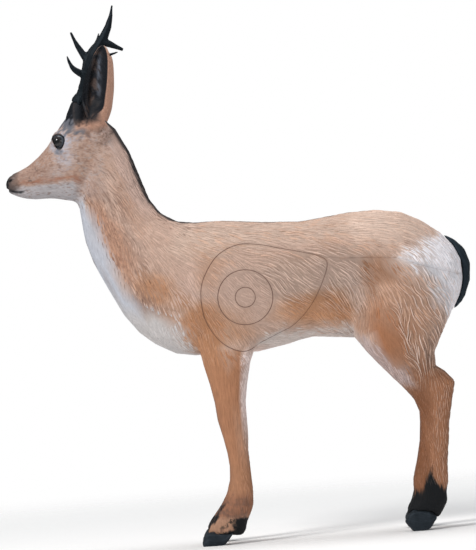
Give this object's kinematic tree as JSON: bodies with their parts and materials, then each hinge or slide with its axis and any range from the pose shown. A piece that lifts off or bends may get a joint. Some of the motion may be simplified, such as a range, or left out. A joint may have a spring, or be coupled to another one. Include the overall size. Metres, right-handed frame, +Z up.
{
  "type": "roe deer archery target",
  "caption": "Standing roebuck archery target: moulded, painted foam body with scoring rings on the flank, black rubber antlers, a short black tail and cloven hooves.",
  "frame": {"origin": "on the floor, under the middle of the model's length and width", "axes": "+Z up, nose towards -X, the animal's left side towards -Y"},
  "size_m": [0.9216, 0.237, 1.0985],
  "materials": {
    "foam_body": "satin",
    "black_foam": "satin",
    "antler_rubber": "satin",
    "eye_gloss": "gloss"
  },
  "bodies": {
    "root": {"trunk": "foam_body", "neck": "foam_body", "head": "foam_body", "foreleg_left": "foam_body", "foreleg_right": "foam_body", "hindleg_left": "foam_body", "hindleg_right": "foam_body", "ear_left": "foam_body", "ear_right": "foam_body", "tail": "black_foam", "hoof_fore_left_inner": "black_foam", "hoof_fore_left_outer": "black_foam", "hoof_fore_right_inner": "black_foam", "hoof_fore_right_outer": "black_foam", "hoof_hind_left_inner": "black_foam", "hoof_hind_left_outer": "black_foam", "hoof_hind_right_inner": "black_foam", "hoof_hind_right_outer": "black_foam", "antler_left_beam": "antler_rubber", "antler_left_front_tine": "antler_rubber", "antler_left_rear_tine": "antler_rubber", "antler_right_beam": "antler_rubber", "antler_right_front_tine": "antler_rubber", "antler_right_rear_tine": "antler_rubber", "eye_left": "eye_gloss", "eye_right": "eye_gloss"}
  },
  "joints": []
}
